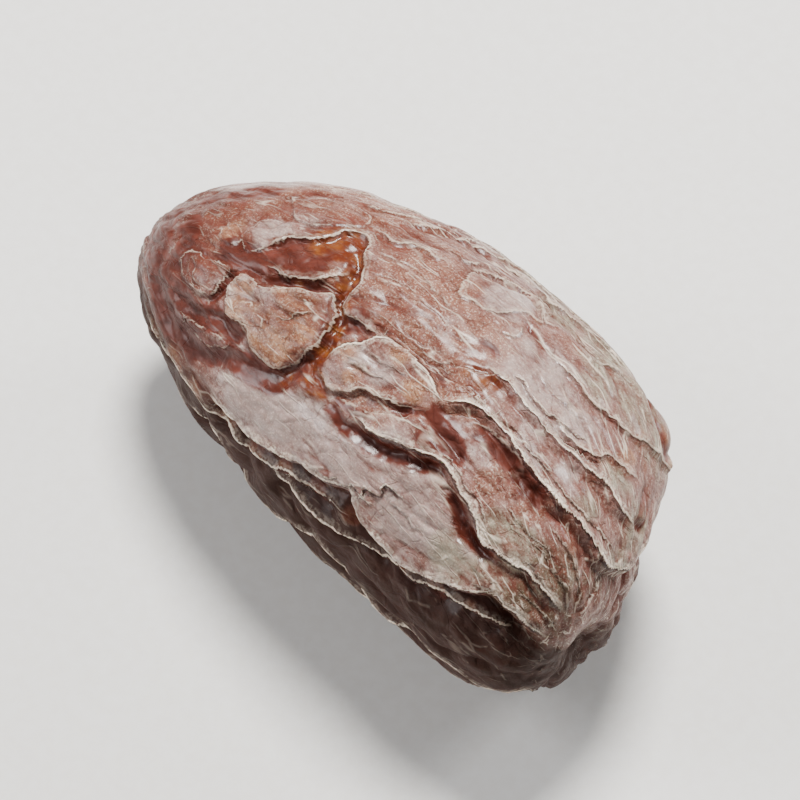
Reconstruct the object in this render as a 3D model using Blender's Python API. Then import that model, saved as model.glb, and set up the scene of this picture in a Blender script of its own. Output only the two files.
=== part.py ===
"""A medjool date, lying on the side that it settles on, modelled as the one solid that it grew as.

The row frame has +X from the apex to the stem end, +Y to the bulged side and +Z up, with the
origin under the middle of the date, on the surface that it lies on. Distances are in metres.
Places on the skin are given as a pair: millimetres along the date from its widest section,
positive towards the stem, and degrees round it from the top, positive towards the front (-Y).
"""

import collections
import math
import random

import bmesh
import bpy
import numpy as np
from mathutils import Vector, noise

MM = 0.001

# The bare body, before its skin is folded
APEX_REACH = 27.3 * MM  # from the widest section to the apex
STEM_REACH = 20.9 * MM  # from the widest section to the stem scar
APEX_POWER = 2.0  # the apex half is an ellipse
STEM_POWER = 2.5  # the stem half is blunter
HALF_ACROSS = 13.0 * MM
HALF_HEIGHT = 12.6 * MM
BOW = 1.9 * MM  # how far the middle swings to the bulged side
APEX_SWING = 1.0 * MM  # how far the apex swings to the front
STEM_SWING = 3.4 * MM  # how far the stem scar swings to the front
FLAT_SAG = 0.9 * MM  # how much of the underside is pressed flat by the weight
FLOOR_CALM = 1.6 * MM  # how far above the surface the folds are back at their full height

# The grid that is folded, and the triangles that are kept of it
RINGS = 190
SPOKES = 250
TRIANGLES = 10800
OUTLINE_STEPS = 2000
NORMAL_STEP = 0.02 * MM
NORMAL_TURN = 0.002

# The small folds that cover the skin by rule
CRINKLE_HEIGHT = 0.75 * MM
CRINKLE_ALONG = 8.5 * MM
CRINKLE_ROUND = 2.9 * MM
CRINKLE_BEND = 0.75  # how far they stray sideways
CRINKLE_BEND_RATE = 0.45  # how often, as a share of how often they come
CRINKLE_SHARPNESS = 6.0
CRINKLE_SINK = 0.6  # the share of their height that goes under the bare body
CRINKLE_SEED = Vector((4.0, 0, 0))
NOISE_SEED = 4  # the noise's own seed, without which each run bends the small folds anew
NARROWEST_TUBE = 0.14  # of the date's half width, for the tube that they are drawn on
CALM_SHARE = 0.22  # how much of them shows on the face, where the skin is plumper
FACE_MIDDLE, FACE_HALF, FACE_EDGE = 18, 50, 45  # degrees round the date

ROUTE_STEP = 0.25 * MM
FOLD_FADE = 2.2 * MM  # how far a fold takes to rise from each of its ends
LEFT, RIGHT = 1, -1  # of a route as it runs, seen from outside

# A fold has a raised rim along its route. On its high side the skin sinks slowly from the rim,
# over the shelf, and on the other it falls by the drop over the lip's width, into a gully.
# A route that ends where it starts is the outline of a plate or a pool.
Fold = collections.namedtuple("Fold", "route high rim drop lip shelf gully")
FOLDS = {
    "long_plateau_rim": Fold(
        [(-12.5, 72.5), (-8.3, 71), (-5.3, 68.4), (-2.4, 63), (0.1, 61.5), (2.1, 57.5), (3.3, 60.1),
         (5.2, 63.9), (7.9, 64.5), (10.5, 61.2), (13.3, 53.6), (15.5, 46), (17.2, 43), (18.6, 41.5),
         (20, 38)],
        LEFT, 0.30, 1.35, 1.00, 3.2, 1.7),
    "middle_crest": Fold(
        [(-1, 35.8), (1.4, 36.4), (3.2, 34), (4.6, 30.5), (6.6, 28.4), (9, 28.5), (11.1, 31),
         (12.5, 33.8), (13.4, 33.4), (15.2, 29.9), (16.4, 26), (17.6, 24.8), (18.5, 23.5), (19.7, 20)],
        LEFT, 0.30, 0.46, 0.75, 1.6, 0.9),
    "main_crest": Fold(
        [(3.2, 15), (4.9, 9.6), (6.2, 6), (8.4, 5.4), (10.4, 6), (12.6, 4.9), (14.4, 1.9), (16, -3.3),
         (17.6, -9), (18.6, -16), (19.2, -24), (19.5, -34), (19.5, -48), (19.1, -62), (18, -74)],
        LEFT, 0.34, 0.44, 0.90, 1.5, 1.1),
    "twin_crest": Fold(
        [(3.6, -5), (5.3, -5), (6.4, -6.3), (8.5, -6.6), (10.4, -7.4), (12, -10), (13.7, -15),
         (14.6, -19), (15.6, -24.5), (16.7, -28.7), (17.6, -36), (18.2, -44)],
        LEFT, 0.26, 0.32, 0.80, 1.1, 1.0),
    "twin_crest_branch": Fold(
        [(9.5, -11.5), (10.6, -14), (11.6, -13.5), (12.8, -15.5), (13.8, -22.2), (14.1, -31),
         (15.2, -38.7), (16.2, -47)],
        LEFT, 0.16, 0.24, 0.50, 1.0, 0.7),
    "shoulder_edge": Fold(
        [(5.5, -28.5), (7, -28), (8.6, -29.3), (10.2, -31.5), (11.6, -36), (13, -43.4), (14, -52.6),
         (14.8, -63.5), (15, -76), (14.4, -88)],
        LEFT, 0.14, 0.22, 0.40, 3.0, 0.7),
    "broken_edge": Fold(
        [(-4.1, -34), (-3, -35), (-1.8, -40), (-0.8, -43), (0.4, -46.5), (1.9, -45), (3, -40), (4.6, -41.5)],
        LEFT, 0.14, 0.34, 0.40, 1.6, 0.6),
    "window_plate": Fold(
        [(-1.9, -18.1), (-2.8, -25.4), (-3, -32), (-2.1, -35.9), (-0.2, -39.1), (0.5, -46), (2, -44),
         (3.1, -36), (2, -31.9), (1.1, -25.5), (0, -21), (-1.9, -18.1)],
        RIGHT, 0.08, 0.12, 0.30, 2.0, 0.5),
    "tongue_top_edge": Fold(
        [(-5.4, 30.5), (-5.2, 26.5), (-4.6, 21.3), (-3.8, 16.5), (-3.4, 13.4), (-2.6, 11.6), (-1.1, 9.9),
         (0.8, 10.6), (2.6, 12.2), (4.2, 15.3)],
        RIGHT, 0.22, 0.38, 0.50, 1.4, 0.8),
    "tongue_front_edge": Fold(
        [(-5, 30.5), (-4.5, 33), (-3.6, 35), (-2.4, 33), (-1.3, 29.2), (0.6, 26.6), (2.1, 23.2), (3.6, 20)],
        LEFT, 0.14, 0.32, 0.45, 1.2, 0.7),
    "front_ridge": Fold(
        [(-22, 82), (-16, 79.5), (-11.6, 79.8), (-8.4, 82.4), (-5.4, 79), (-2.8, 73), (0.3, 70), (3, 69)],
        LEFT, 0.30, 0.70, 0.80, 1.0, 1.4),
    "low_front_ridge": Fold(
        [(-6, 84), (-3.3, 81.1), (0.4, 79), (3.5, 75.9), (7, 72.6), (9.8, 70.4), (13, 64), (16.5, 56),
         (18.3, 52.5)],
        LEFT, 0.30, 0.85, 0.80, 1.1, 1.6),
    "cream_plate": Fold(
        [(-15.6, 31.6), (-15.4, 24.5), (-14.6, 22.5), (-12.9, 24), (-11.3, 18.3), (-9.6, 13.4), (-8.5, 10),
         (-7.5, 14.4), (-6.8, 20.5), (-6.6, 27), (-6.8, 34.3), (-7.9, 42), (-9.2, 44.3), (-10.8, 43.5),
         (-12.4, 38.5), (-14.4, 39.5), (-15.6, 31.6)],
        RIGHT, 0.10, 0.24, 0.40, 1.8, 0.6),
    "upper_pool": Fold(
        [(-16, 12), (-15.4, 6), (-14.6, 1.6), (-13.3, -2.3), (-12.4, -7.4), (-12, -12.3), (-11.1, -16.1),
         (-10.1, -14.5), (-9.5, -10), (-8.8, -5), (-7.6, -0.5), (-7.4, 4), (-7.4, 9.8), (-6.5, 13.6),
         (-5.1, 12.5), (-4.2, 12.2), (-2.8, 10.6)],
        LEFT, 0.14, 0.34, 0.40, 1.8, 1.2),
    "slot_crest": Fold(
        [(-14.4, 16.6), (-13.5, 14.6), (-12.6, 15), (-11.7, 12.6), (-10.4, 9), (-9.7, 5.7), (-9.2, 2),
         (-9.4, -2)],
        LEFT, 0.16, 0.22, 0.30, 0.7, 0.5),
    "upper_band": Fold(
        [(-11.1, -34), (-9.4, -39.1), (-8, -44.4), (-6.5, -48.7), (-4.1, -55), (-0.5, -53), (1.7, -49),
         (3.4, -54), (6.3, -56), (9.3, -55.5)],
        LEFT, 0.14, 0.26, 0.50, 2.0, 1.0),
    "upper_fold": Fold(
        [(-11.6, -22.2), (-9, -21.8), (-7.3, -26), (-5.3, -26.2), (-3.8, -24)],
        LEFT, 0.10, 0.18, 0.40, 1.4, 0.7),
}

# The folds of the hidden side follow a rule: they run from the apex half into the stem scar
BACK_FOLDS = 13
BACK_FIRST, BACK_LAST = 99, 284
BACK_STARTS = (-24, -4)
BACK_END = 20.3
BACK_PLACES = 12
BACK_WAVER = 6.0
BACK_WAVES = (1.3, 2.8)
BACK_SIZES = (0.6, 1.2)
BACK_SEED = 11
BACK_PROFILE = Fold(None, None, 0.32, 0.90, 0.85, 1.5, 1.3)

# A channel is a groove with a soft floor, where the skin has parted or sunk onto the flesh
Channel = collections.namedtuple("Channel", "route depth width")
CHANNELS = {
    "pool_outlet": Channel(
        [(-9.8, -9), (-8.7, -1.4), (-8, 6), (-7.3, 13), (-6.2, 21), (-5.9, 28), (-5.7, 34), (-4.2, 37.5)],
        0.55, 0.62),
    "red_pool": Channel([(-6.2, 17), (-5.3, 13.5), (-4.4, 14.5)], 0.40, 0.80),
    "red_slot": Channel([(-13.2, 23), (-12.9, 19.4), (-11.6, 16.2), (-10.3, 12.4), (-9.2, 8.3), (-8.6, 4.5)],
                        0.36, 0.40),
    "front_river": Channel(
        [(-6.2, 31), (-6.9, 40.6), (-7.6, 46.5), (-9.2, 49.8), (-11.8, 52.9), (-13.6, 59), (-16, 62.5),
         (-20, 62), (-23, 56)],
        0.45, 0.80),
    "apex_river": Channel([(-20.9, 49.6), (-17.8, 51.8), (-15.4, 46), (-13.2, 44.5), (-11.6, 45)], 0.30, 0.50),
    "plate_parting": Channel([(-16.2, 24), (-16, 31.6), (-16.2, 38), (-17, 42)], 0.30, 0.40),
    "middle_gully": Channel(
        [(-3.7, 39.4), (-2.4, 40.5), (-0.6, 41.6), (1.4, 40.5), (3.2, 38), (4.9, 35), (6.5, 32), (8, 31.4)],
        0.34, 0.55),
    "middle_pocket": Channel([(8.4, 31.6), (9.6, 35), (10.9, 38.7), (12.6, 38.2), (14.4, 34.8)], 0.50, 0.55),
    "tongue_notch": Channel([(3.2, 19), (4.6, 20.5), (5.8, 22.5), (7.2, 23.5), (8.3, 25)], 0.40, 0.65),
    "main_valley": Channel([(6.4, 13), (8.4, 11), (9.9, 11), (11.5, 10), (12.9, 8.8), (14.5, 7.4)], 0.14, 0.42),
    "tongue_end_gully": Channel([(0.6, 28.5), (1.8, 25.5), (2.8, 22), (4, 20.5)], 0.15, 0.45),
    "slit": Channel([(2.5, -29.8), (3.3, -29), (4.5, -27.4), (5.7, -27)], 0.40, 0.32),
    "twin_end_pocket": Channel([(17.6, -41), (18.1, -48), (18.6, -58)], 0.60, 0.50),
}

CHANNEL_POWER = 2.5  # the higher, the flatter a channel's floor and the steeper its sides
HEIGHT_LIMIT = 0.70 * MM  # folds that run together rise no higher than this

SCAR_CALM = 7.5 * MM  # how far from the stem scar the folds are back at their full height
SCAR_SHARE = 0.30

# A swelling is a smooth rise, or a hollow where its height is below nothing
Swelling = collections.namedtuple("Swelling", "place height reach")
SWELLINGS = {
    "shoulder": Swelling((13.3, -76), 1.55, 4.2),
    "shoulder_front": Swelling((9, -55), 0.40, 4.0),
    "tongue_end": Swelling((17.4, -46), 0.35, 2.6),
    "long_plateau": Swelling((1, 51), 0.30, 4.5),
    "stem_hollow": Swelling((20.9, 0), -1.20, 1.9),
    "apex_hollow": Swelling((-27.3, 0), -0.40, 0.9),
}

SKIN_COLOUR = (0.165, 0.052, 0.032, 1.0)
SKIN_ROUGHNESS = 0.42


def clear_scene():
    for thing in list(bpy.data.objects):
        bpy.data.objects.remove(thing)


def fullness(x):
    """The share of the greatest half width that the bare body has at each x."""
    reach = np.where(x > 0, STEM_REACH, APEX_REACH)
    power = np.where(x > 0, STEM_POWER, APEX_POWER)
    out = np.clip(np.abs(x) / reach, 0, 1)
    return (1 - out**power) ** (1 / power)


def spine(x):
    """How far the middle of each section lies towards the bulged side."""
    reach = np.where(x > 0, STEM_REACH, APEX_REACH)
    swing = np.where(x > 0, STEM_SWING, APEX_SWING)
    out = np.clip(np.abs(x) / reach, 0, 1)
    return BOW * (1 - out**2) - swing * out**3


def bare_point(x, turn):
    """Points of the bare body, about its own axis, for lengths x and turns from the top in radians."""
    full = fullness(x)
    y = spine(x) - np.sin(turn) * HALF_ACROSS * full
    z = np.cos(turn) * HALF_HEIGHT * full
    return np.stack([x + 0 * turn, y, z], axis=-1)


def bare_normal(x, turn):
    """The outward direction of the bare body, from the slopes of its surface."""
    step = NORMAL_STEP
    x = np.clip(x, step - APEX_REACH, STEM_REACH - step)
    along = bare_point(x + step, turn) - bare_point(x - step, turn)
    around = bare_point(x, turn + NORMAL_TURN) - bare_point(x, turn - NORMAL_TURN)
    out = np.cross(around, along)
    return out / np.linalg.norm(out, axis=-1, keepdims=True)


def ring_places():
    """The x of each ring, evenly spaced along the body's outline from apex to stem scar."""
    lean = np.linspace(0, math.pi, OUTLINE_STEPS)
    x = np.where(lean < math.pi / 2, -APEX_REACH * np.cos(lean), -STEM_REACH * np.cos(lean))
    steps = np.hypot(np.diff(x), np.diff(HALF_ACROSS * fullness(x)))
    run = np.concatenate([[0], np.cumsum(steps)])
    return np.interp(np.linspace(0, run[-1], RINGS + 2)[1:-1], run, x)


def smooth_route(route):
    """A route's places as a Catmull-Rom curve, in metres and radians, a step apart or closer."""
    places = np.array([(x * MM, math.radians(turn)) for x, turn in route])
    ends = np.concatenate([[2 * places[0] - places[1]], places, [2 * places[-1] - places[-2]]])
    curve = []
    for a, b, c, d in zip(ends, ends[1:], ends[2:], ends[3:]):
        span = np.linalg.norm(bare_point(c[0], c[1]) - bare_point(b[0], b[1]))
        for t in np.linspace(0, 1, max(2, round(span / ROUTE_STEP)), endpoint=False):
            curve.append(0.5 * (2 * b + (c - a) * t + (2 * a - 5 * b + 4 * c - d) * t**2
                                + (3 * b - a - 3 * c + d) * t**3))
    return np.array(curve + [places[-1]])


def beside(route, points):
    """How far each point is from the route, positive on its left, and how strong the fold is there:
    0 at an open route's ends or past them, and 1 from the fade's length in."""
    x, turn = smooth_route(route).T
    path = bare_point(x, turn)
    run = np.gradient(path, axis=0)
    left = np.cross(bare_normal(x, turn), run)
    nearest = np.zeros(len(points), int)
    best = np.full(len(points), np.inf)
    for i, place in enumerate(path):
        gap = np.sum((points - place) ** 2, axis=1)
        closer = gap < best
        nearest[closer] = i
        best[closer] = gap[closer]
    apart = points - path[nearest]
    side = np.sign(np.sum(apart * left[nearest], axis=1))
    if route[0] == route[-1]:
        return side * np.sqrt(best), np.ones(len(points))
    steps = np.linalg.norm(np.diff(path, axis=0), axis=1)
    done = np.concatenate([[0], np.cumsum(steps)])
    from_end = np.minimum(done, done[-1] - done)[nearest]
    return side * np.sqrt(best), smooth(from_end / FOLD_FADE)


def smooth(share):
    """0 at or below 0 and 1 at or above 1, with no corner between."""
    share = np.clip(share, 0, 1)
    return share * share * (3 - 2 * share)


def fold_height(fold, points):
    gap, strength = beside(fold.route, points)
    gap = gap / MM * fold.high
    high = fold.rim * np.exp(-np.clip(gap, 0, None) / fold.shelf)
    past = np.clip(-gap - fold.lip, 0, None)
    low = (fold.rim - (fold.rim + fold.drop) * smooth(-gap / fold.lip)) * np.exp(-past / fold.gully)
    return np.where(gap > 0, high, low) * strength * MM


def channel_height(channel, points):
    gap, strength = beside(channel.route, points)
    share = np.exp(-((np.abs(gap) / MM / channel.width) ** CHANNEL_POWER)) * np.sqrt(strength)
    return -channel.depth * share * MM


def swelling_height(swelling, points):
    x, turn = swelling.place[0] * MM, math.radians(swelling.place[1])
    apart = np.linalg.norm(points - bare_point(np.array(x), np.array(turn)), axis=1) / MM
    return swelling.height * np.exp(-((apart / swelling.reach) ** 2)) * MM


def back_folds():
    """The hidden side's folds, a turn apart, each wavering about its own line."""
    draw = random.Random(BACK_SEED)
    folds = []
    for i in range(BACK_FOLDS):
        middle = BACK_FIRST + (BACK_LAST - BACK_FIRST) * i / (BACK_FOLDS - 1)
        start = draw.uniform(*BACK_STARTS)
        phase = draw.uniform(0, math.tau)
        waves = draw.uniform(*BACK_WAVES)
        places = []
        for share in np.linspace(0, 1, BACK_PLACES):
            sway = BACK_WAVER * math.sin(phase + waves * math.tau * share) * (1 - share**3)
            places.append((start + (BACK_END - start) * share, middle + sway))
        size = draw.uniform(*BACK_SIZES)
        folds.append(BACK_PROFILE._replace(route=places, high=draw.choice((LEFT, RIGHT)),
                                           rim=BACK_PROFILE.rim * size, drop=BACK_PROFILE.drop * size))
    return folds


noise.seed_set(NOISE_SEED)


def crinkle(x, turn):
    """Small folds that run lengthwise, part and meet: creases where a noise changes sign. They are
    drawn on a tube that narrows less than the date does, so that they gather towards its ends."""
    tube = HALF_ACROSS * np.clip(np.sqrt(fullness(x)), NARROWEST_TUBE, 1)
    places = np.stack([x / CRINKLE_ALONG, -np.sin(turn) * tube / CRINKLE_ROUND,
                       np.cos(turn) * tube / CRINKLE_ROUND], axis=-1)
    heights = np.empty(len(places))
    for i, place in enumerate(places):
        place = Vector(place)
        bend = noise.noise_vector(place * CRINKLE_BEND_RATE)
        wave = noise.noise(place + CRINKLE_BEND * bend + CRINKLE_SEED)
        heights[i] = 1 - math.exp(-abs(wave) * CRINKLE_SHARPNESS)
    return CRINKLE_HEIGHT * (heights - CRINKLE_SINK)


def calm(turn):
    """How much of the small folds shows: a little on the face, all of it on the hidden side."""
    degrees = (np.degrees(turn) + 180) % 360 - 180
    from_face = (np.abs(degrees - FACE_MIDDLE) - FACE_HALF) / FACE_EDGE
    return CALM_SHARE + (1 - CALM_SHARE) * smooth(from_face)


def gathered(points):
    """How much of the folds is left near the stem scar, where they draw together and thin out."""
    scar = bare_point(np.array(STEM_REACH), np.array(0.0))
    apart = np.linalg.norm(points - scar, axis=1)
    return SCAR_SHARE + (1 - SCAR_SHARE) * smooth(apart / SCAR_CALM)


def relief(x, turn, points):
    """The height of the folded skin over the bare body."""
    height = crinkle(x, turn) * calm(turn)
    for fold in [*FOLDS.values(), *back_folds()]:
        height += fold_height(fold, points)
    for channel in CHANNELS.values():
        height += channel_height(channel, points)
    height = np.where(height > 0, HEIGHT_LIMIT * np.tanh(height / HEIGHT_LIMIT), height)
    height *= gathered(points)
    for swelling in SWELLINGS.values():
        height += swelling_height(swelling, points)
    return height


def skin_points():
    """The folded skin's points: the apex, the rings towards the stem scar, and the scar."""
    x, turn = np.meshgrid(ring_places(), np.linspace(0, math.tau, SPOKES, endpoint=False), indexing="ij")
    x = np.concatenate([[-APEX_REACH], x.ravel(), [STEM_REACH]])
    turn = np.concatenate([[0], turn.ravel(), [0]])
    bare = bare_point(x, turn)
    floor = HALF_HEIGHT - FLAT_SAG
    height = relief(x, turn, bare) * smooth((floor + bare[:, 2]) / FLOOR_CALM)
    points = bare + bare_normal(x, turn) * height[:, None]
    points[:, 2] += floor
    return points


def skin_faces():
    faces = [(0, 1 + (j + 1) % SPOKES, 1 + j) for j in range(SPOKES)]
    for i in range(RINGS - 1):
        here, there = 1 + i * SPOKES, 1 + (i + 1) * SPOKES
        for j in range(SPOKES):
            k = (j + 1) % SPOKES
            faces.append((here + j, here + k, there + k, there + j))
    last, scar = 1 + (RINGS - 1) * SPOKES, 1 + RINGS * SPOKES
    faces += [(last + j, last + (j + 1) % SPOKES, scar) for j in range(SPOKES)]
    return faces


def press_flat(mesh):
    """Cuts the underside off level and closes it with one flat face."""
    part = bmesh.new()
    part.from_mesh(mesh)
    everything = part.verts[:] + part.edges[:] + part.faces[:]
    cut = bmesh.ops.bisect_plane(part, geom=everything, dist=1e-7, plane_co=(0, 0, 0),
                                 plane_no=(0, 0, -1), clear_outer=True)
    rim = [edge for edge in cut["geom_cut"] if isinstance(edge, bmesh.types.BMEdge)]
    bmesh.ops.contextual_create(part, geom=rim)
    bmesh.ops.triangulate(part, faces=[face for face in part.faces if len(face.verts) > 4])
    bmesh.ops.recalc_face_normals(part, faces=part.faces)
    part.to_mesh(mesh)
    part.free()


def skin_material():
    material = bpy.data.materials.new("date_skin")
    material.use_nodes = True
    shader = material.node_tree.nodes["Principled BSDF"]
    shader.inputs["Base Color"].default_value = SKIN_COLOUR
    shader.inputs["Roughness"].default_value = SKIN_ROUGHNESS
    return material


def thinned(date):
    """The date's mesh with only the triangles that its folds need."""
    thin = date.modifiers.new("keep_the_folds", "DECIMATE")
    thin.ratio = TRIANGLES / sum(len(face.vertices) - 2 for face in date.data.polygons)
    graph = bpy.context.evaluated_depsgraph_get()
    mesh = bpy.data.meshes.new_from_object(date.evaluated_get(graph))
    date.modifiers.remove(thin)
    return mesh


def make_date():
    points = skin_points()
    middle = (points.min(axis=0) + points.max(axis=0)) / 2
    points[:, :2] -= middle[:2]
    mesh = bpy.data.meshes.new("date")
    mesh.from_pydata(points.tolist(), [], skin_faces())
    mesh.materials.append(skin_material())
    date = bpy.data.objects.new("date", mesh)
    bpy.context.scene.collection.objects.link(date)
    date.data = thinned(date)
    press_flat(date.data)
    date.data.shade_smooth()


clear_scene()
make_date()
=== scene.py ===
import collections
import math
import random

import bpy
import numpy as np
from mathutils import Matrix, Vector, noise


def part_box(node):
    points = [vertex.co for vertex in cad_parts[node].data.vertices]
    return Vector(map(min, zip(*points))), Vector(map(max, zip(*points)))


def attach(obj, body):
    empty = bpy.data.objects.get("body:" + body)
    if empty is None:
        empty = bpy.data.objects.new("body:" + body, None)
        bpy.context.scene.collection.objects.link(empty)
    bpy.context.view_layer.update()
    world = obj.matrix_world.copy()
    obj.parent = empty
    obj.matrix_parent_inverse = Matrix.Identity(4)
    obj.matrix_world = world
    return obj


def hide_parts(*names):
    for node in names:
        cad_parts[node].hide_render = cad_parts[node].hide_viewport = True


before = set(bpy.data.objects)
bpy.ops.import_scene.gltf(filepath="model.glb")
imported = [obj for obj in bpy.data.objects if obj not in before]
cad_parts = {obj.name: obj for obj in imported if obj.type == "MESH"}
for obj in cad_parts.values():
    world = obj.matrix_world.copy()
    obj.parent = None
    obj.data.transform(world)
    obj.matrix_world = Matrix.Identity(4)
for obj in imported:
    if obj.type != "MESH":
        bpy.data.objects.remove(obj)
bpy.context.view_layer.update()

MM = 0.001

# The bare body, before its skin is folded, as in the frame
APEX_REACH = 27.3 * MM
STEM_REACH = 20.9 * MM
APEX_POWER = 2.0
STEM_POWER = 2.5
HALF_ACROSS = 13.0 * MM
HALF_HEIGHT = 12.6 * MM
BOW = 1.9 * MM
APEX_SWING = 1.0 * MM
STEM_SWING = 3.4 * MM
FLAT_SAG = 0.9 * MM
FLOOR_CALM = 1.6 * MM
NORMAL_STEP = 0.02 * MM
NORMAL_TURN = 0.002

# The skin's mesh is a cube's grid blown up to the body, so its squares stay about one size. They
# are drawn together towards the side that is seen.
CUBE_CELLS = 128
SEEN_SIDE = (0.12, -0.35, 0.93)
DRAWN_IN = 0.25

# Folds wander a little from the line that they follow: distance strayed, and over what length
WANDERS = [(0.34 * MM, 2.1 * MM), (0.14 * MM, 0.8 * MM)]

CRINKLE_HEIGHT = 0.75 * MM
CRINKLE_ALONG = 8.5 * MM
CRINKLE_ROUND = 2.9 * MM
CRINKLE_BEND = 0.75
CRINKLE_BEND_RATE = 0.45
CRINKLE_SHARPNESS = 6.0
CRINKLE_SINK = 0.6
CRINKLE_SEED = Vector((4.0, 0, 0))
NOISE_SEED = 4  # without one, each run would bend the folds anew
NARROWEST_TUBE = 0.14
CALM_SHARE = 0.22
FACE_MIDDLE, FACE_HALF, FACE_EDGE = 18, 50, 45

# Seeds of the noises, and how far apart the places are that two seeds read
SEED_ALONG, SEED_ROUND = 17.3, 5.1
STRIAE_SEED, CRUMPLE_SEED, PATCH_SEED = 3, 4, 10

# The fine relief that covers the whole skin: its grain as (along, across, across), its height in
# millimetres, and how far the crumple is sunk so that it doesn't fatten the date
STRIAE_SIZE = (5.5 * MM, 0.55 * MM, 0.55 * MM)
STRIAE_HEIGHT = 0.045
CRUMPLE_SIZE = (3.2 * MM, 1.7 * MM, 1.7 * MM)
CRUMPLE_HEIGHT, CRUMPLE_SINK = 0.28, 0.07

# Ragged edges of the tinted patches: how much of a patch's reach, and over what length
RAGS = [(0.35, 2.2 * MM), (0.25, 0.8 * MM)]
PATCH_EDGE, PATCH_BLEND = 1.25, 0.7

# The underside's painted shade, a dark colour laid where no light falls: its level at the back, how
# much higher it starts at the front, and how softly. It also starts below the long plateau's rim, past
# a turn from the top.
UNDER_LEVEL, UNDER_RISE, UNDER_BLEND = 0.10, 0.45, 0.35
RIM_SHADE_FROM, RIM_SHADE_BLEND = 38, 10
RIM_SHADE_START, RIM_SHADE_START_BLEND = 9 * MM, 5 * MM

ROUTE_STEP = 0.25 * MM
FOLD_FADE = 2.2 * MM
FINE_FADE = 1.0 * MM
RIM_SHADE = 1.6 * MM  # how soon the painted shade starts below the long plateau's rim
GULLY_FLESH = 0.46  # how much of the flesh's colour shows below a fold, next to a channel's
FLESH_REACH, FLESH_LEAST = 0.8, 0.2  # its reach in gully widths, and its least below a low fold
CREASE_WIDTH, CREASE_FLESH = 0.7, 0.8  # the same for the creases of the small hidden folds
BAND_EDGE = 1.6  # half widths from a worn band's line to where it ends
EDGE_REACH = 1.0 * MM  # how far from a fold's line its pale crest, partly a painted highlight, and its painted shadow line are drawn
CREST_LEAST, CREST_PER_RIM = 0.12, 2.8  # how strongly a crest's pale line, partly a painted highlight, and its painted shadow show, from its rim's height
FAINTEST = 0.02  # a fold's end weaker than this draws no crest
LEFT, RIGHT = 1, -1

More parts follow.
